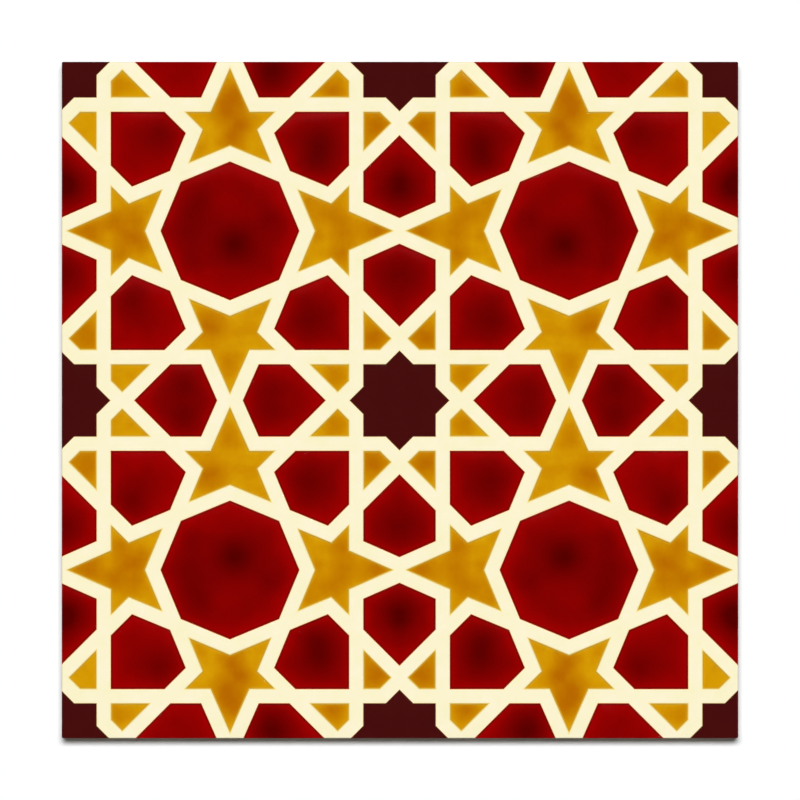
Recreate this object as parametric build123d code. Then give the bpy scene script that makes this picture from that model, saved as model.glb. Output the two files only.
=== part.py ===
from build123d import *
import os
from math import ceil, radians, sqrt, tan

# A square pressed ceramic tile, lying face up. Its glazed face carries a star and
# octagon strapwork: straps of one width stand a little proud of the coloured fields
# between them, and the pattern runs out through the edges. Millimetres, with the
# origin at the middle of the back and +Z out of the face.

# Body of the tile
tile_side = 108.0
tile_thickness = 6.0
face_arris = 0.3            # rounding along the edge of the face
corner_extra = 0.05         # the outline's corners are rounded this much more
edge_land_start = 2.6       # height at which the upright part of the edge starts
edge_draft = 4.0            # degrees that the edge leans in below it

# Keyed back: shallow square recesses, with a rim and ribs that lie on one plane
key_count = 6               # recesses along each side
key_rim = 6.0               # plain border between the outline and the recesses
key_rib = 3.0               # rib between two recesses
key_depth = 0.8
key_draft = 20.0            # degrees that the walls of a recess lean
key_corner_radius = 1.2

# Straps and the fields between them
strap_width = 2.24
strap_relief = 0.25         # height of the straps over the fields
relief_draft = 30.0         # degrees that the walls of a field lean
pattern_shift_x = -0.08     # the pattern sits this far off the middle of the tile
pattern_shift_y = -0.07

# Middle lines of the straps, measured from the middle of a star, and for the waist
# from the level halfway to the next star
pattern_repeat = 54.14      # from one star to the next
star_half = 6.91            # half the side of the star's upright square
star_tip = 9.56             # middle to corner of its turned square
slant_foot = 10.18          # where the slanting straps start on the star's axis
waist_half = 3.86           # from that level to where an upright strap bends inwards
crossing_half = 0.81        # from that level to where it meets the star's axis
octagon_radius = 12.31      # middle to corner of the octagon

# Where the middle lines bend or cross, right of the upper axis of the star at (0, 0).
# The octagon lies half a repeat to the right of the star and half a repeat above it.
middle = pattern_repeat / 2
octagon_foot = middle - octagon_radius
octagon_slope = sqrt(2) - 1
slant_run = (octagon_foot + octagon_slope * middle - slant_foot) / (1 + octagon_slope)
waist_slope = (waist_half - crossing_half) / star_half
square_corner = (star_half, star_half)
star_notch = (star_tip - star_half, star_half)
knot = ((star_tip - slant_foot) / 2, (star_tip + slant_foot) / 2)
slant_start = (0, slant_foot)
slant_crossing = (star_half, slant_foot + star_half)
slant_bend = (slant_run, slant_foot + slant_run)
octagon_corner = (middle - octagon_radius / sqrt(2), middle - octagon_radius / sqrt(2))
octagon_side = (octagon_foot, middle)
waist_corner = (star_half, middle - waist_half)
waist_end = (0, middle - crossing_half)
long_point = (-crossing_half / waist_slope, middle)


def over_diagonal(corner):
    """The corner folded over the line from the star to the octagon."""
    return (corner[1], corner[0])


def over_star_axis(corner):
    """The corner folded over the upright line through the star."""
    return (-corner[0], corner[1])


def over_octagon_axis(corner):
    """The corner folded over the level line through the octagon."""
    return (corner[0], pattern_repeat - corner[1])


def whole_outline(half, fold):
    """The corners of one half of an outline, in turn, and the same corners folded."""
    folded = [fold(corner) for corner in reversed(half)]
    return half + [corner for corner in folded if corner not in half]


def level_outline(corners, set_back, height):
    """The outline whose middle-line corners these are, anticlockwise, with each side
    moved in by set_back, lying at this height."""
    moved = []
    for before, here, after in zip(corners[-1:] + corners, corners, corners[1:] + corners):
        arriving = (Vector(here) - Vector(before)).normalized()
        leaving = (Vector(after) - Vector(here)).normalized()
        turn = arriving.cross(leaving).Z
        moved.append(Vector(here) + (leaving - arriving) * (set_back / turn))
    return Pos(0, 0, height) * Polygon(*moved, align=None)


def hollow(corners):
    """The hollow between straps whose middle lines join these corners, below a face at
    z = 0. Its walls start half a strap in and lean further in as they go down."""
    mouth = strap_width / 2
    lean = strap_relief * tan(radians(relief_draft))
    levels = [level_outline(corners, mouth, 0)]
    levels.append(level_outline(corners, mouth + lean, -strap_relief))
    return loft(levels, ruled=True)


def star_corners():
    """The eight-pointed star at (0, 0): an upright square and one turned on its corner."""
    quarter = [(star_tip, 0), (star_half, star_tip - star_half), square_corner, star_notch]
    return [
        tuple(Vector(corner).rotate(Axis.Z, 90 * turn))[:2]
        for turn in range(4)
        for corner in quarter
    ]


def octagon_corners():
    """The octagon, up and to the right of the star."""
    spoke = Vector(octagon_radius, 0)
    hub = Vector(middle, middle)
    return [tuple(hub + spoke.rotate(Axis.Z, 45 * turn))[:2] for turn in range(8)]


def hollows_of_one_repeat():
    """The hollows that belong to one star at (0, 0) and to the octagon beside it."""
    corner_piece = [square_corner, slant_crossing, knot, star_notch]
    other_corner_piece = [over_diagonal(corner) for corner in reversed(corner_piece)]
    half_shield = [octagon_corner, slant_bend, slant_crossing, square_corner]
    half_diamond = [slant_start, slant_crossing, waist_corner, waist_end]
    half_five_point = [long_point, waist_corner, slant_crossing, slant_bend]
    half_five_point += [octagon_corner, octagon_side]
    round_star = [
        hollow(corner_piece),
        hollow(other_corner_piece),
        hollow(whole_outline(half_shield, over_diagonal)),
        hollow(whole_outline(half_diamond, over_star_axis)),
    ]
    five_point = hollow(whole_outline(half_five_point, over_octagon_axis))
    hub = Pos(middle, middle)
    hollows = [hollow(star_corners()), hollow(octagon_corners())]
    for turn in PolarLocations(0, 4):
        hollows += [turn * piece for piece in round_star]
        hollows.append(hub * turn * hub.inverse() * five_point)
    return hollows


def face_hollows():
    """Every hollow that reaches the tile, moved to its face."""
    reach = tile_side / 2
    most_shift = max(abs(pattern_shift_x), abs(pattern_shift_y))
    stars = 1 + 2 * ceil((reach + most_shift) / pattern_repeat)
    to_face = Pos(pattern_shift_x, pattern_shift_y, tile_thickness)
    one_repeat = hollows_of_one_repeat()
    hollows = []
    for place in GridLocations(pattern_repeat, pattern_repeat, stars, stars):
        for piece in one_repeat:
            piece = to_face * place * piece
            box = piece.bounding_box()
            nearest = max(box.min.X, box.min.Y, -box.max.X, -box.max.Y)
            if nearest < reach:
                hollows.append(piece)
    return hollows


def key_recesses():
    """The recesses in the back, which the bedding mortar fills."""
    pitch = (tile_side - 2 * key_rim + key_rib) / key_count
    side = pitch - key_rib
    mouth = RectangleRounded(side, side, key_corner_radius)
    recess = extrude(mouth, key_depth, taper=key_draft)
    return [place * recess for place in GridLocations(pitch, pitch, key_count, key_count)]


def pressed_body():
    """The plain tile: an edge upright above and leaning in below, and a soft arris."""
    corner_radius = face_arris + corner_extra
    blank = Pos(0, 0, edge_land_start) * RectangleRounded(tile_side, tile_side, corner_radius)
    body = extrude(blank, tile_thickness - edge_land_start)
    body += extrude(blank, edge_land_start, dir=(0, 0, -1), taper=edge_draft)
    face = body.faces().sort_by(Axis.Z)[-1]
    return fillet(face.outer_wire().edges(), face_arris)


tile = pressed_body() - key_recesses() - face_hollows()
tile.label = "tile"

os.makedirs("parts", exist_ok=True)
export_step(tile, "parts/tile.step")
print("tile:", len(tile.solids()), "solid,", len(tile.faces()), "faces")
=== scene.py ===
import math

import bmesh
import bpy
from mathutils import Matrix, Vector, noise


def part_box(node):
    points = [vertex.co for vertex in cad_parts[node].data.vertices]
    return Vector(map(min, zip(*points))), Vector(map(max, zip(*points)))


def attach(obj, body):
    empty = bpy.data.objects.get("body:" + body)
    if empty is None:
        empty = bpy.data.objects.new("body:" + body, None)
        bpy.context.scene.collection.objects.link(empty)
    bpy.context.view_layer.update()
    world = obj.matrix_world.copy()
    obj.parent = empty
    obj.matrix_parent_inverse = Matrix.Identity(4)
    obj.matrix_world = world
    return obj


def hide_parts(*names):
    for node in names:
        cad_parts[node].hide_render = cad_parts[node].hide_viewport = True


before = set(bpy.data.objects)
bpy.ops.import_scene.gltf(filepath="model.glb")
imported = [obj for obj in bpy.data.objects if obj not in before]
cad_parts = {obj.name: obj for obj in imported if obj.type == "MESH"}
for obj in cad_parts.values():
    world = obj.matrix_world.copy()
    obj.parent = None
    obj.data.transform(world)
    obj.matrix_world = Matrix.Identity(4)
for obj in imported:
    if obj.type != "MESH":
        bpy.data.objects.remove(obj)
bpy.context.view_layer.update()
print("frame loaded:", sorted(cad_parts))

mm = 0.001
up = Vector((0.0, 0.0, 1.0))

# The pattern, in millimetres: the middle lines of its straps, measured from the middle
# of a star, and for the waist from the level halfway to the next star
pattern = {
    "repeat": 54.14,          # from one star to the next
    "shift": (-0.08, -0.07),  # the pattern sits this far off the middle of the tile
    "strapWidth": 2.24,
    "starHalf": 6.91,         # half the side of the star's upright square
    "starTip": 9.56,          # middle to corner of its turned square
    "slantFoot": 10.18,       # where the slanting straps start on the star's axis
    "waistHalf": 3.86,        # from the halfway level to where an upright strap bends
    "crossingHalf": 0.81,     # from that level to where it meets the star's axis
    "octagonRadius": 12.31,
}

# The glazed face, in millimetres
face = {
    "relief": 0.25,           # depth of the coloured fields under the straps
    "wallRun": 0.19,          # how far the wall of a field leans in
    "shoulderDrop": 0.022,    # a strap's edge lies this much under its middle
    "shoulderRuns": (0.10, 0.26),     # the steps from that edge up to the middle
    "shoulderRises": (0.014, 0.008),
    "poolRings": (0.09, 0.16, 0.30, 0.45),  # rings of faces in from the wall's foot
    "poolCrown": 0.045,       # the glaze stands this much higher in the middle of a field
    "poolReach": 2.2,         # distance from the wall over which it rises
    "gridStep": 0.9,          # spacing of the cuts that carry the pool's shape
    "edgeStep": 0.8,          # spacing of the points along the tile's edge
    "arris": 0.22,            # rounding along the edge of the face
    "arrisCuts": (0.015, 0.05, 0.1, 0.16, 0.22),  # they carry its curve
    "cornerRadius": 0.24,     # of the outline, no smaller than the arris
    "cornerCuts": 5,
    "spare": 9.6,             # the sheet is made this much larger, then trimmed
    "weld": 0.002,            # points this close to each other or to a cut are one
    "floorSlack": 0.001,      # points this close to a field's floor belong to its pool
    "mouthFade": 0.0001,      # run over which the colour of a mouth always fades
    "sharpAngle": 38,         # degrees; faces that meet at less than this shade as one
}

# The edge and the keyed back, in millimetres
body = {
    "glazeEdge": 4.55,        # height where the glaze ends on the edge
    "glazeWander": 0.28,      # how far that line wanders up and down
    "glazeWaves": ((13.0, 0, 1.0), (3.5, 40, 0.4)),  # size, noise level and share
    "glazeLip": 0.06,         # height over which the glaze thins out
    "glazeSkin": 0.05,        # thickness of the glaze there
    "landStart": 2.6,         # height at which the upright part of the edge starts
    "draft": 4.0,             # degrees that the edge leans in below it
    "footBevel": 0.25,
    "keyCount": 6,            # recesses along each side
    "keyRim": 6.0,            # plain border round them
    "keyRib": 3.0,            # rib between two of them
    "keyDepth": 0.8,
    "keyDraft": 20.0,         # degrees that their walls lean
    "keyCorner": 1.2,
    "keyCornerSteps": 4,
    "keyMouth": (0.096, 0.048),  # run and rise of the softening along a recess's mouth
    "keyFoot": (0.12, 0.072),    # and along its foot
}

# Where the glaze pooled thicker or thinner while it ran: middle from the pattern's middle,
# reach and extra depth. One quarter of the tile; the other three are its mirror images.
pools = {
    "crimson": (
        (26.5, 24.8, 3.1, 0.72), (20.4, 29.0, 2.4, 0.34), (33.9, 27.0, 2.9, 0.28),
        (32.8, 31.2, 2.6, 0.30), (31.2, 33.6, 2.1, 0.22), (33.2, 22.8, 2.4, 0.20),
        (25.3, 31.4, 2.2, -0.10), (27.4, 18.8, 3.4, -0.16), (22.0, 24.0, 2.6, 0.10),
        (14.0, 12.9, 3.2, 0.42), (42.6, 15.8, 2.8, 0.36), (38.0, 42.2, 2.6, 0.34),
        (12.4, 40.8, 3.9, 0.42), (13.6, 38.2, 2.8, 0.24), (0.4, 20.6, 3.6, 0.38),
        (0.0, 34.3, 3.2, 0.72), (53.8, 20.6, 2.9, 0.44), (53.9, 34.5, 3.0, 0.84),
        (21.0, 0.8, 3.2, 0.26), (34.4, 1.9, 3.5, 0.44), (20.3, 52.4, 3.2, 0.60),
        (35.4, 50.6, 3.0, -0.12), (11.6, 17.8, 2.0, -0.12), (46.5, 40.0, 2.4, -0.08),
    ),
    "gold": (
        (30.5, 12.0, 2.6, 0.64), (27.2, 5.8, 2.1, 0.34), (23.4, 13.0, 2.3, -0.26),
        (26.2, 9.8, 2.0, -0.22), (3.8, 27.0, 2.5, 0.52), (9.3, 23.8, 2.0, 0.50),
        (9.0, 27.4, 1.9, 0.40), (10.9, 29.8, 2.0, 0.54), (14.4, 31.4, 1.8, 0.40),
        (12.9, 26.4, 1.7, 0.24), (43.4, 26.6, 2.3, 0.52), (49.6, 26.8, 2.3, 0.60),
        (41.4, 25.0, 1.7, 0.40), (45.6, 28.8, 1.6, 0.42), (44.6, 23.4, 1.8, 0.40),
        (42.4, 29.4, 1.9, 0.40), (39.6, 31.4, 1.9, -0.24), (26.8, 41.8, 2.0, 0.52),
        (25.0, 43.8, 2.0, 0.38), (27.2, 46.0, 2.5, 0.56), (27.0, 49.0, 2.5, 0.60),
        (30.9, 42.4, 1.8, -0.22), (22.4, 41.0, 1.6, -0.20), (10.2, 4.0, 2.1, 0.42),
        (3.9, 10.0, 2.7, 0.62), (50.0, 10.4, 2.5, 0.62), (4.0, 43.8, 2.9, 0.68),
        (10.4, 49.8, 1.9, 0.54), (44.8, 50.2, 1.9, 0.28),
    ),
}

starSlot, crimsonSlot, goldSlot, bisqueSlot = range(1, 5)  # the straps keep slot 0

lowest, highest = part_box("tile")
tileHalf = highest.x / mm
tileTop = highest.z / mm


def wholeOutline(half, fold):  # one half of an outline, and the same corners folded over
    folded = [fold(corner) for corner in reversed(half)]
    return half + [corner for corner in folded if corner not in half]


def addField(bm, slot, corners):
    field = bm.faces.new([bm.verts.new((x, y, 0.0)) for x, y in corners])
    field.material_index = slot
    return field


def addRepeat(bm):  # the fields around one star, and those around the octagon beside it
    half, tip, foot = pattern["starHalf"], pattern["starTip"], pattern["slantFoot"]
    radius = pattern["octagonRadius"]
    middle = pattern["repeat"] / 2
    octagonFoot = middle - radius
    octagonNear = middle - radius / math.sqrt(2)
    octagonSlope = math.sqrt(2) - 1
    slantRun = (octagonFoot + octagonSlope * middle - foot) / (1 + octagonSlope)
    waistSlope = (pattern["waistHalf"] - pattern["crossingHalf"]) / half
    squareCorner = (half, half)
    starNotch = (tip - half, half)
    knot = ((tip - foot) / 2, (tip + foot) / 2)
    slantCrossing = (half, foot + half)
    slantBend = (slantRun, foot + slantRun)
    octagonCorner = (octagonNear, octagonNear)
    waistCorner = (half, middle - pattern["waistHalf"])
    waistEnd = (0, middle - pattern["crossingHalf"])
    longPoint = (-pattern["crossingHalf"] / waistSlope, middle)

    def overDiagonal(corner):
        return (corner[1], corner[0])

    def overStarAxis(corner):
        return (-corner[0], corner[1])

    def overOctagonAxis(corner):
        return (corner[0], pattern["repeat"] - corner[1])

    cornerPiece = [squareCorner, slantCrossing, knot, starNotch]
    halfShield = [octagonCorner, slantBend, slantCrossing, squareCorner]
    halfDiamond = [(0, foot), slantCrossing, waistCorner, waistEnd]
    halfFivePoint = [longPoint, waistCorner, slantCrossing, slantBend, octagonCorner]
    halfFivePoint.append((octagonFoot, middle))
    aroundStar = [
        addField(bm, goldSlot, cornerPiece),
        addField(bm, goldSlot, [overDiagonal(corner) for corner in reversed(cornerPiece)]),
        addField(bm, crimsonSlot, wholeOutline(halfShield, overDiagonal)),
        addField(bm, crimsonSlot, wholeOutline(halfDiamond, overStarAxis)),
    ]
    fivePoint = [addField(bm, goldSlot, wholeOutline(halfFivePoint, overOctagonAxis))]
    threeTurns = {"axis": up, "angle": math.radians(270), "steps": 3, "use_duplicate": True}
    bmesh.ops.spin(bm, geom=aroundStar, cent=(0, 0, 0), **threeTurns)
    bmesh.ops.spin(bm, geom=fivePoint, cent=(middle, middle, 0), **threeTurns)

    quarter = [(tip, 0), (half, tip - half), squareCorner, starNotch]
    turns = [Matrix.Rotation(math.radians(90 * turn), 2) for turn in range(4)]
    addField(bm, starSlot, [turn @ Vector(corner) for turn in turns for corner in quarter])
    place = Matrix.Translation((middle, middle, 0))
    ring = bmesh.ops.create_circle(bm, cap_ends=True, radius=radius, segments=8, matrix=place)
    ring["verts"][0].link_faces[0].material_index = crimsonSlot


def onlyVerts(geometry):
    return [part for part in geometry if isinstance(part, bmesh.types.BMVert)]


def cut(bm, faces, point, normal, trim=False):
    edges = {edge for part in faces for edge in part.edges}
    corners = {corner for part in faces for corner in part.verts}
    bmesh.ops.bisect_plane(
        bm, geom=[*corners, *edges, *faces], dist=face["weld"], plane_co=point,
        plane_no=normal, clear_outer=trim)


def distanceToOutline(point, outline):
    nearest = math.inf
    for start, end in zip(outline, outline[1:] + outline[:1]):
        run = end - start
        share = (point - start).dot(run) / run.length_squared
        nearest = min(nearest, (start + run * min(1, max(0, share)) - point).length)
    return nearest


def sinkFields(bm, outlines):  # walls and crowned pools, in the fields of one repeat
    rimLayer = bm.verts.layers.float.new("rimDistance")
    number = bm.faces.layers.int["field"]
    fields = bm.faces[:]
    drop = face["relief"] - face["shoulderDrop"]
    bmesh.ops.inset_individual(
        bm, faces=fields, thickness=face["wallRun"], depth=-drop, use_even_offset=True)
    walls = set(bm.faces).difference(fields)
    for ring in face["poolRings"]:
        bmesh.ops.inset_individual(bm, faces=fields, thickness=ring, use_even_offset=True)
    steps = round(pattern["repeat"] / face["gridStep"])
    for step in range(-steps, steps + 1):
        for axis in (Vector((1, 0, 0)), Vector((0, 1, 0))):
            floors = [part for part in bm.faces if part not in walls]
            cut(bm, floors, axis * step * face["gridStep"], axis)
    for part in bm.faces:
        for corner in part.verts:
            inward = distanceToOutline(corner.co.xy, outlines[part[number]])
            corner[rimLayer] = inward
            if corner.co.z < -face["relief"] + face["floorSlack"]:
                share = min(max((inward - face["wallRun"]) / face["poolReach"], 0), 1)
                corner.co.z = face["poolCrown"] * (1 - (1 - share) ** 2) - face["relief"]


def addPatternFields(bm):  # every field that reaches the tile, sunk under the straps
    addRepeat(bm)
    bm.normal_update()
    bmesh.ops.reverse_faces(bm, faces=[field for field in bm.faces if field.normal.z < 0])
    straps = bmesh.ops.inset_individual(
        bm, faces=bm.faces[:], thickness=pattern["strapWidth"] / 2, use_even_offset=True)
    bmesh.ops.delete(bm, geom=straps["faces"], context="FACES")
    number = bm.faces.layers.int.new("field")
    outlines = {}
    for place, field in enumerate(bm.faces):
        field[number] = place
        outlines[place] = [corner.co.xy for corner in field.verts]
    bmesh.ops.translate(bm, verts=bm.verts[:], vec=(0, 0, -face["shoulderDrop"]))
    sinkFields(bm, outlines)

    oneRepeat = bm.faces[:]
    count = 0
    for column in (-1, 0, 1):
        for row in (-1, 0, 1):
            step = Vector((column, row)) * pattern["repeat"] + Vector(pattern["shift"])
            reaching = set()
            for place, outline in outlines.items():
                across = [corner.x + step.x for corner in outline]
                along = [corner.y + step.y for corner in outline]
                nearest = max(min(across), min(along), -max(across), -max(along))
                if nearest < tileHalf:
                    reaching.add(place)
            chosen = [part for part in oneRepeat if part[number] in reaching]
            count += len(reaching)
            if chosen:
                made = bmesh.ops.duplicate(bm, geom=chosen)["geom"]
                bmesh.ops.translate(bm, verts=onlyVerts(made), vec=step.to_3d())
    bmesh.ops.delete(bm, geom=oneRepeat, context="FACES")
    print("fields between the straps:", count)


def addStraps(bm):  # what the fields leave of the sheet, with rounded shoulders
    mouths = [edge for edge in bm.edges if edge.is_boundary]
    place = Matrix.Translation((0, 0, -face["shoulderDrop"]))
    margin = bmesh.ops.create_grid(
        bm, x_segments=1, y_segments=1, size=tileHalf + face["spare"], matrix=place)
    blank = margin["verts"][0].link_faces[0]
    border = blank.edges[:]
    bmesh.ops.delete(bm, geom=[blank], context="FACES_ONLY")
    filled = bmesh.ops.triangle_fill(
        bm, use_beauty=True, use_dissolve=False, normal=up, edges=mouths + border)["geom"]
    straps = [part for part in filled if isinstance(part, bmesh.types.BMFace)]
    bm.normal_update()
    bmesh.ops.reverse_faces(bm, faces=[strap for strap in straps if strap.normal.z < 0])
    bm.normal_update()
    rimLayer = bm.verts.layers.float["rimDistance"]
    inward = 0
    for run, rise in zip(face["shoulderRuns"], face["shoulderRises"]):
        bmesh.ops.inset_region(
            bm, faces=straps, thickness=run, depth=rise, use_even_offset=True,
            use_boundary=False)
        inward += run
        for strap in straps:
            for corner in strap.verts:
                corner[rimLayer] = inward
    print("straps:", len(straps), "faces")


def nearEdge(bm, margin):
    limit = tileHalf - margin
    return [part for part in bm.faces
            if any(max(abs(corner.co.x), abs(corner.co.y)) > limit for corner in part.verts)]


def arrisDrop(point):  # how far the rounded edge of the face lies under the face's level
    inner = tileHalf - face["cornerRadius"]
    over = Vector((max(abs(point.x) - inner, 0), max(abs(point.y) - inner, 0)))
    inset = face["cornerRadius"] - over.length
    reach = min(max(face["arris"] - inset, 0), face["arris"])
    return face["arris"] - math.sqrt(face["arris"] ** 2 - reach ** 2)


def trimSheet(bm):  # to the tile's outline, with the rounding along its edge
    sides = [Vector((1, 0, 0)), Vector((-1, 0, 0)), Vector((0, 1, 0)), Vector((0, -1, 0))]
    for side in sides:
        cut(bm, bm.faces[:], side * tileHalf, side, trim=True)
    radius, cuts = face["cornerRadius"], face["cornerCuts"]
    hub = tileHalf - radius
    for xSign in (-1, 1):
        for ySign in (-1, 1):
            corner = Vector((xSign * hub, ySign * hub, 0))
            for step in range(1, cuts + 1):
                turn = math.radians(90) * step / (cuts + 1)
                outward = Vector((xSign * math.cos(turn), ySign * math.sin(turn), 0))
                cut(bm, nearEdge(bm, radius), corner + outward * radius, outward, trim=True)
    for side in sides:
        for inset in face["arrisCuts"]:
            cut(bm, nearEdge(bm, inset), side * (tileHalf - inset), side)
    rim = {}
    for edge in bm.edges:
        parts = round(edge.calc_length() / face["edgeStep"])
        if edge.is_boundary and parts > 1:
            rim.setdefault(parts, []).append(edge)
    for parts, edges in rim.items():
        bmesh.ops.bisect_edges(bm, edges=edges, cuts=parts - 1)
    for corner in bm.verts:
        corner.co.z = tileTop + min(corner.co.z, -arrisDrop(corner.co))
    print("sheet trimmed:", len(bm.faces), "faces")


def drawDown(bm, level, inset, slot=None):  # carry the open rim of the shell further down
    rim = [edge for edge in bm.edges if edge.is_boundary]
    made = bmesh.ops.extrude_edge_only(bm, edges=rim)["geom"]
    shrink = (tileHalf - inset) / tileHalf
    for corner in onlyVerts(made):
        corner.co.x *= shrink
        corner.co.y *= shrink
        corner.co.z = level(corner.co)
    if slot is not None:
        for part in made:
            if isinstance(part, bmesh.types.BMFace):
                part.material_index = slot


def makeEdge(bm):
    skin, bevel = body["glazeSkin"], body["footBevel"]

    def glazeLine(point):
        wander = sum(
            share * noise.noise(Vector((point.x, point.y, level)) / size)
            for size, level, share in body["glazeWaves"])
        return body["glazeEdge"] + body["glazeWander"] * wander

    leanIn = (body["landStart"] - bevel) * math.tan(math.radians(body["draft"]))
    drawDown(bm, glazeLine, 0)
    drawDown(bm, lambda point: point.z - body["glazeLip"], skin)
    drawDown(bm, lambda point: body["landStart"], 0, bisqueSlot)
    drawDown(bm, lambda point: bevel, leanIn, bisqueSlot)
    drawDown(bm, lambda point: 0, bevel, bisqueSlot)


def makeBack(bm):  # the plane that the tile rests on, with its keyed recesses
    rim = [edge for edge in bm.edges if edge.is_boundary]
    known = set(bm.faces)
    count = body["keyCount"]
    pitch = (2 * (tileHalf - body["keyRim"]) + body["keyRib"]) / count
    side = pitch - body["keyRib"]
    first = pitch * (count - 1) / 2
    place = Matrix.Translation((-first, -first, 0))
    corners = bmesh.ops.create_grid(
        bm, x_segments=1, y_segments=1, size=side / 2, matrix=place)["verts"]
    bmesh.ops.bevel(
        bm, geom=corners, offset=body["keyCorner"], segments=body["keyCornerSteps"],
        profile=0.5, affect="VERTICES", material=-1)
    oneKey = [part for part in bm.faces if part not in known]
    for column in range(count):
        for row in range(count):
            if column or row:
                made = bmesh.ops.duplicate(bm, geom=oneKey)["geom"]
                step = Vector((column, row, 0)) * pitch
                bmesh.ops.translate(bm, verts=onlyVerts(made), vec=step)
    keys = [part for part in bm.faces if part not in known]
    mouths = [edge for key in keys for edge in key.edges]
    bmesh.ops.triangle_fill(
        bm, use_beauty=True, use_dissolve=False, normal=-up, edges=rim + mouths)
    bm.normal_update()
    inwards = keys[0].normal.z  # the recesses go up, whichever way their faces point
    wallRise = body["keyDepth"] - body["keyMouth"][1] - body["keyFoot"][1]
    wallRun = wallRise * math.tan(math.radians(body["keyDraft"]))
    for thickness, depth in (body["keyMouth"], (wallRun, wallRise), body["keyFoot"]):
        bmesh.ops.inset_individual(
            bm, faces=keys, thickness=thickness, depth=depth * inwards,
            use_even_offset=True)
    for part in bm.faces:
        if part not in known:
            part.material_index = bisqueSlot
    print("recesses in the back:", len(keys))


def storeGlazeDepth(bm):  # how much thicker the glaze lies where it pooled
    depthLayer = bm.verts.layers.float.new("glazeDepth")
    slotPools = {crimsonSlot: pools["crimson"], goldSlot: pools["gold"]}
    middle = Vector(pattern["shift"])
    for part in bm.faces:
        for corner in part.verts:
            depth = 0
            place = corner.co.xy - middle
            folded = Vector((abs(place.x), abs(place.y)))
            for x, y, reach, extra in slotPools.get(part.material_index, ()):
                away = (folded - Vector((x, y))).length / reach
                depth += extra * math.exp(-away ** 2)
            corner[depthLayer] = max(depth, corner[depthLayer])


def makeTile():
    bm = bmesh.new()
    addPatternFields(bm)
    addStraps(bm)
    trimSheet(bm)
    makeEdge(bm)
    makeBack(bm)
    storeGlazeDepth(bm)
    bmesh.ops.remove_doubles(bm, verts=bm.verts[:], dist=face["weld"])
    bmesh.ops.recalc_face_normals(bm, faces=bm.faces[:])
    bmesh.ops.scale(bm, verts=bm.verts[:], vec=(mm, mm, mm))
    for part in bm.faces:
        part.smooth = True
    mesh = bpy.data.meshes.new("glazedTile")
    bm.to_mesh(mesh)
    bm.free()
    mesh.set_sharp_from_angle(angle=math.radians(face["sharpAngle"]))
    tile = bpy.data.objects.new("glazedTile", mesh)
    bpy.context.scene.collection.objects.link(tile)
    triangles = sum(len(polygon.vertices) - 2 for polygon in mesh.polygons)
    print("tile:", len(mesh.polygons), "faces,", triangles, "triangles")
    return tile


tile = makeTile()


def addNode(tree, kind, inputs=None, **settings):  # an input is a value or a socket
    node = tree.nodes.new("ShaderNode" + kind)
    for name, value in settings.items():
        setattr(node, name, value)
    for name, value in (inputs or {}).items():
        if isinstance(value, bpy.types.NodeSocket):
            tree.links.new(value, node.inputs[name])
        else:
            node.inputs[name].default_value = value
    return node


def shade(red, green, blue):  # a colour as a screen shows it, 0 to 255
    levels = [level / 255 for level in (red, green, blue)]
    linear = [
        level / 12.92 if level <= 0.04045 else ((level + 0.055) / 1.055) ** 2.4
        for level in levels
    ]
    return (*linear, 1.0)


def newGroup(name, inputs, outputs):
    group = bpy.data.node_groups.new(name, "ShaderNodeTree")
    for socketName, kind, value in inputs:
        socket = group.interface.new_socket(socketName, in_out="INPUT", socket_type=kind)
        if value is not None:
            socket.default_value = value
    for socketName, kind in outputs:
        group.interface.new_socket(socketName, in_out="OUTPUT", socket_type=kind)
    start = group.nodes.new("NodeGroupInput").outputs
    end = group.nodes.new("NodeGroupOutput").inputs
    return group, start, end


def makeCloudGroup():
    # Soft clouds, mirrored about the pattern's middle as the glaze's own are
    group, start, end = newGroup(
        "glazeClouds",
        [("Vector", "NodeSocketVector", None), ("Size", "NodeSocketFloat", 5.0),
         ("Roughness", "NodeSocketFloat", 0.5)],
        [("Cloud", "NodeSocketFloat")])
    centre = (-pattern["shift"][0] * mm, -pattern["shift"][1] * mm, 0)
    moved = addNode(group, "VectorMath", {0: start["Vector"], 1: centre}, operation="ADD")
    folded = addNode(group, "VectorMath", {0: moved.outputs[0]}, operation="ABSOLUTE")
    scale = addNode(group, "Math", {0: 1 / mm, 1: start["Size"]}, operation="DIVIDE")
    clouds = addNode(group, "TexNoise", {
        "Vector": folded.outputs[0], "Scale": scale.outputs[0], "Detail": 3.0,
        "Roughness": start["Roughness"]})
    group.links.new(clouds.outputs["Fac"], end["Cloud"])
    return group


# The gloss of a fired glaze: scales are per metre, depths in metres
gloss = {
    "polish": 0.12,           # roughness
    "polishScale": 70.0,      # patches of duller and brighter polish
    "polishSpread": (-0.025, 0.05),
    "rippleScale": 160.0,     # slow ripple
    "rippleDepth": 0.00004,
    "peelScale": 900.0,       # faint orange peel
    "peelDepth": 0.000006,
}


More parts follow.
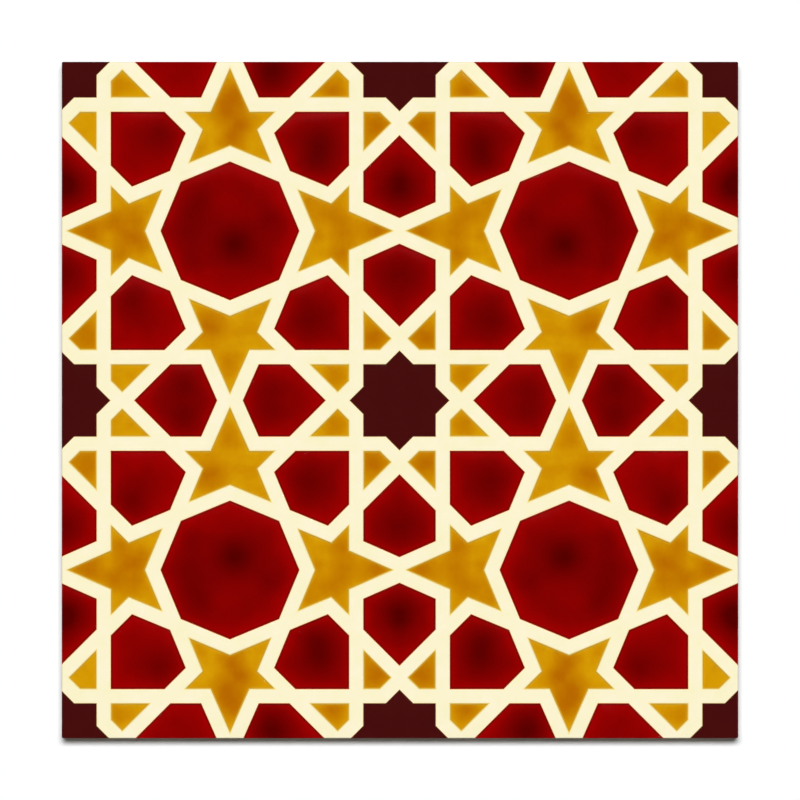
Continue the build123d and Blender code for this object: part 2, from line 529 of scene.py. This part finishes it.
def makeSurfaceGroup():
    group, start, end = newGroup(
        "glazeSurface",
        [("Vector", "NodeSocketVector", None),
         ("Polish", "NodeSocketFloat", gloss["polish"]), ("Ripple", "NodeSocketFloat", 1.0)],
        [("Roughness", "NodeSocketFloat"), ("Normal", "NodeSocketVector")])
    peel = addNode(group, "TexNoise", {
        "Vector": start["Vector"], "Scale": gloss["peelScale"], "Detail": 2.0,
        "Roughness": 0.4})
    slow = addNode(group, "TexNoise", {
        "Vector": start["Vector"], "Scale": gloss["rippleScale"], "Detail": 2.0,
        "Roughness": 0.4})
    slowBump = addNode(group, "Bump", {
        "Strength": start["Ripple"], "Distance": gloss["rippleDepth"],
        "Height": slow.outputs["Fac"]})
    peelBump = addNode(group, "Bump", {
        "Strength": start["Ripple"], "Distance": gloss["peelDepth"],
        "Height": peel.outputs["Fac"], "Normal": slowBump.outputs["Normal"]})
    wear = addNode(group, "TexNoise", {
        "Vector": start["Vector"], "Scale": gloss["polishScale"], "Detail": 4.0,
        "Roughness": 0.6})
    smoothest, dullest = gloss["polishSpread"]
    spread = addNode(group, "MapRange", {
        "Value": wear.outputs["Fac"], "From Min": 0.3, "From Max": 0.7,
        "To Min": smoothest, "To Max": dullest})
    total = addNode(group, "Math", {0: spread.outputs[0], 1: start["Polish"]},
                    operation="ADD")
    group.links.new(total.outputs[0], end["Roughness"])
    group.links.new(peelBump.outputs["Normal"], end["Normal"])
    return group


cloudGroup = makeCloudGroup()
surfaceGroup = makeSurfaceGroup()


def newMaterial(name):
    material = bpy.data.materials.new(name)
    material.use_nodes = True
    tree = material.node_tree
    tree.nodes.clear()
    output = addNode(tree, "OutputMaterial")
    return material, tree, output


def colourSteps(tree, value, steps):
    ramp = addNode(tree, "ValToRGB", {"Fac": value})
    stops = ramp.color_ramp.elements
    while len(stops) < len(steps):
        stops.new(0.5)
    for stop, (position, colour) in zip(stops, steps):
        stop.position = position
        stop.color = shade(*colour)
    return ramp.outputs["Color"]


# The four glazes, in the order of their slots: colour steps from thin to thick glaze, what
# moves a spot along them (sizes in millimetres), and the colours of the line where a glaze
# meets the straps: at the mouth, then at the first of lineEnds, gone at the second. On the
# maroon, crimson and gold fields the mouth colour is partly the thinner glaze at the rim and
# partly painted light that makes up for the shade on the field's wall. Their line colour is
# painted shade along the lower wall and the floor beside it. On the cream both are a warmer
# tint along the strap's edge.
glazes = {
    "creamGlaze": {
        "steps": ((0.0, (255, 246, 216)), (1.0, (250, 243, 198))),
        "mouth": (255, 224, 150), "line": (255, 224, 150), "lineEnds": (0.0, 0.14),
        "base": 0.5, "rimGain": 0, "rimFade": 1, "cloudSize": 2.4, "cloudGain": 1.6,
    },
    "maroonGlaze": {
        "steps": ((0.0, (74, 16, 15)), (1.0, (67, 12, 12))),
        # mouth: thinner glaze and painted light on the wall; line: painted shade at the
        # wall's foot
        "mouth": (150, 90, 60), "line": (58, 7, 4), "lineEnds": (0.08, 0.2),
        "base": 0.5, "rimGain": 0, "rimFade": 1, "cloudSize": 6, "cloudGain": 1.2,
    },
    "crimsonGlaze": {
        "steps": ((0.0, (165, 1, 2)), (0.4, (131, 1, 1)), (1.0, (86, 0, 0))),
        # mouth: thinner glaze and painted light on the wall; line: painted shade at the
        # wall's foot
        "mouth": (240, 36, 22), "line": (92, 7, 4), "lineEnds": (0.14, 0.42),
        "base": 0.38, "rimGain": 0.38, "rimFade": 1.6, "cloudSize": 4.5, "cloudGain": 0.4,
    },
    "goldGlaze": {
        "steps": ((0.0, (223, 168, 8)), (0.5, (203, 135, 1)), (1.0, (185, 105, 0))),
        # mouth: thinner glaze and painted light on the wall; line: painted shade at the
        # wall's foot
        "mouth": (255, 240, 130), "line": (202, 156, 42), "lineEnds": (0.18, 0.36),
        "base": 0.28, "rimGain": 0.1, "rimFade": 0.4, "cloudSize": 3.2, "cloudGain": 0.75,
    },
}


def makeGlaze(name, glaze):
    material, tree, output = newMaterial(name)
    place = addNode(tree, "TexCoord").outputs["Object"]
    clouds = addNode(tree, "Group", node_tree=cloudGroup)
    tree.links.new(place, clouds.inputs["Vector"])
    clouds.inputs["Size"].default_value = glaze["cloudSize"]
    swing = addNode(tree, "MapRange", {
        "Value": clouds.outputs["Cloud"], "From Min": 0, "From Max": 1,
        "To Min": glaze["base"] - glaze["cloudGain"] / 2,
        "To Max": glaze["base"] + glaze["cloudGain"] / 2}, clamp=False)
    rim = addNode(tree, "Attribute", attribute_name="rimDistance").outputs["Fac"]
    depth = addNode(tree, "Attribute", attribute_name="glazeDepth").outputs["Fac"]
    fade = addNode(tree, "Math", {0: rim, 1: -1 / glaze["rimFade"]}, operation="MULTIPLY")
    thin = addNode(tree, "Math", {0: math.e, 1: fade.outputs[0]}, operation="POWER")
    thinning = addNode(tree, "Math", {0: thin.outputs[0], 1: -glaze["rimGain"]},
                       operation="MULTIPLY")
    pooled = addNode(tree, "Math", {0: swing.outputs[0], 1: depth}, operation="ADD")
    total = addNode(tree, "Math", {0: pooled.outputs[0], 1: thinning.outputs[0]},
                    operation="ADD")
    colour = colourSteps(tree, total.outputs[0], glaze["steps"])
    # Painted light and shade along each field's wall. The mouth colour is lighter to make up
    # for the wall's shade, partly also the thinner glaze there. The line colour is painted
    # shade along the wall's foot. On the cream both are a warmer tint at the strap's edge.
    lineStart, lineEnd = glaze["lineEnds"]
    atRim = addNode(tree, "MapRange", {
        "Value": rim, "From Min": lineStart, "From Max": lineEnd, "To Min": 1.0,
        "To Max": 0.0}, interpolation_type="SMOOTHSTEP")
    offMouth = addNode(tree, "MapRange", {
        "Value": rim, "From Max": lineStart + face["mouthFade"]})
    rimLightShadeAndTint = addNode(tree, "Mix", {
        0: offMouth.outputs[0], 6: shade(*glaze["mouth"]), 7: shade(*glaze["line"])},
        data_type="RGBA")
    withRimLightShadeAndTint = addNode(tree, "Mix", {
        0: atRim.outputs[0], 6: colour, 7: rimLightShadeAndTint.outputs[2]}, data_type="RGBA")
    surface = addNode(tree, "Group", node_tree=surfaceGroup)
    tree.links.new(place, surface.inputs["Vector"])
    shader = addNode(tree, "BsdfPrincipled", {
        "Base Color": withRimLightShadeAndTint.outputs[2],
        "Roughness": surface.outputs["Roughness"],
        "Normal": surface.outputs["Normal"],
        "IOR": 1.5})
    tree.links.new(shader.outputs[0], output.inputs["Surface"])
    return material


# The bare fired body under the glaze: scales are per metre, the depth is in metres
bisque = {
    "steps": ((0.38, (212, 190, 160)), (0.5, (233, 214, 186)), (0.62, (245, 231, 208))),
    "fleckScale": 2600.0,
    "patchScale": 90.0,
    "grainDepth": 0.00012,
}


def makeBisque():
    material, tree, output = newMaterial("bisque")
    place = addNode(tree, "TexCoord").outputs["Object"]
    fleck = addNode(tree, "TexNoise", {
        "Vector": place, "Scale": bisque["fleckScale"], "Detail": 3.0, "Roughness": 0.6})
    patch = addNode(tree, "TexNoise", {
        "Vector": place, "Scale": bisque["patchScale"], "Detail": 5.0, "Roughness": 0.6})
    both = addNode(tree, "Math", {0: fleck.outputs["Fac"], 1: patch.outputs["Fac"]},
                   operation="ADD")
    mixed = addNode(tree, "Math", {0: both.outputs[0], 1: 0.5}, operation="MULTIPLY")
    colour = colourSteps(tree, mixed.outputs[0], bisque["steps"])
    grain = addNode(tree, "Bump", {
        "Strength": 0.6, "Distance": bisque["grainDepth"], "Height": fleck.outputs["Fac"]})
    shader = addNode(tree, "BsdfPrincipled", {
        "Base Color": colour, "Roughness": 0.88, "Normal": grain.outputs["Normal"]})
    tree.links.new(shader.outputs[0], output.inputs["Surface"])
    return material


for name, glaze in glazes.items():
    tile.data.materials.append(makeGlaze(name, glaze))
tile.data.materials.append(makeBisque())
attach(tile, "root")
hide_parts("tile")
print("glazes:", ", ".join(glazes))

# Light, floor and camera, in metres
studio = {
    "keyTilt": 9.6,           # degrees from straight above, towards the top of the picture
    "keyTurn": 4.0,           # degrees that the two lamps stand to the left and right
    "keySpread": 11.6,        # apparent diameter of each lamp, degrees
    "keyLevel": 0.99,         # brightness that both give a level white surface
    "wallLevel": 0.6,         # brightness of the surroundings low down, for matt surfaces
    "wallGloss": 0.5,         # and as a glossy surface shows them
    "ceilingLevel": 0.003,
    "ceilingStart": 0.5,      # sine of the height where they are dark, for matt surfaces
    "ceilingGloss": 0.75,
    "floorBounce": 0.36,      # share of its light that the floor throws back at the tile
    "floorColour": (0.97, 0.985, 1.0),  # it shows in the shadow, the rest is overexposed
    "floorHalf": 3.0,
    "floorGap": 0.00002,      # it lies this much under the tile
    "cameraDistance": 5.0,
    "cameraReach": (0.05, 30),
    "sensorWidth": 36,        # millimetres, as the lens is
    "pictureShare": 676.4 / 800,  # width of the tile in the picture
}


def makeWorld():
    world = bpy.data.worlds.new("studio")
    world.use_nodes = True
    tree = world.node_tree
    tree.nodes.clear()
    output = addNode(tree, "OutputWorld")
    direction = addNode(tree, "TexCoord").outputs["Generated"]
    height = addNode(tree, "SeparateXYZ", {"Vector": direction}).outputs["Z"]
    path = addNode(tree, "LightPath")
    wall = addNode(tree, "MapRange", {
        "Value": path.outputs["Is Glossy Ray"], "To Min": studio["wallLevel"],
        "To Max": studio["wallGloss"]})
    wallTop = addNode(tree, "MapRange", {
        "Value": path.outputs["Is Glossy Ray"], "To Min": studio["ceilingStart"],
        "To Max": studio["ceilingGloss"]})
    level = addNode(tree, "MapRange", {
        "Value": height, "From Max": wallTop.outputs[0], "To Min": wall.outputs[0],
        "To Max": studio["ceilingLevel"]}, interpolation_type="SMOOTHSTEP")
    shown = addNode(tree, "Math", {0: level.outputs[0], 1: path.outputs["Is Camera Ray"]},
                    operation="MAXIMUM")
    light = addNode(tree, "Background", {"Color": (1, 1, 1, 1), "Strength": shown.outputs[0]})
    tree.links.new(light.outputs[0], output.inputs["Surface"])
    bpy.context.scene.world = world


def makeFloor():
    bm = bmesh.new()
    bmesh.ops.create_grid(bm, x_segments=1, y_segments=1, size=studio["floorHalf"])
    bmesh.ops.translate(bm, verts=bm.verts[:], vec=(0, 0, lowest.z - studio["floorGap"]))
    mesh = bpy.data.meshes.new("floor")
    bm.to_mesh(mesh)
    bm.free()
    floor = bpy.data.objects.new("floor", mesh)
    bpy.context.scene.collection.objects.link(floor)
    material, tree, output = newMaterial("floorPaper")
    path = addNode(tree, "LightPath")
    bounce = studio["floorBounce"]
    seen = addNode(tree, "Mix", {
        0: path.outputs["Is Camera Ray"], 6: (bounce, bounce, bounce, 1),
        7: (*studio["floorColour"], 1)}, data_type="RGBA").outputs[2]
    shader = addNode(tree, "BsdfDiffuse", {"Color": seen})
    tree.links.new(shader.outputs[0], output.inputs["Surface"])
    mesh.materials.append(material)


def makeLight():  # two wide matt lamps, which leave no hot spot on the glaze
    tilt = math.radians(studio["keyTilt"])
    for name, side in (("keyLeft", -1), ("keyRight", 1)):
        turn = math.radians(studio["keyTurn"]) * side
        lamp = bpy.data.lights.new(name, "SUN")
        lamp.angle = math.radians(studio["keySpread"])
        lamp.energy = math.pi * studio["keyLevel"] / math.cos(tilt) / 2
        key = bpy.data.objects.new(name, lamp)
        key.rotation_euler = (-tilt, turn, 0)
        key.location = (math.sin(turn), math.sin(tilt), math.cos(tilt))
        key.visible_glossy = False
        bpy.context.scene.collection.objects.link(key)


def makeCamera():
    data = bpy.data.cameras.new("camera")
    data.sensor_width = studio["sensorWidth"]
    width = 2 * tileHalf * mm / studio["pictureShare"]
    data.lens = data.sensor_width * studio["cameraDistance"] / width
    data.clip_start, data.clip_end = studio["cameraReach"]
    camera = bpy.data.objects.new("camera", data)
    camera.location = (0, 0, highest.z + studio["cameraDistance"])
    bpy.context.scene.collection.objects.link(camera)
    bpy.context.scene.camera = camera


makeWorld()
makeFloor()
makeLight()
makeCamera()
bpy.context.scene.view_settings.view_transform = "Standard"
print("studio ready")
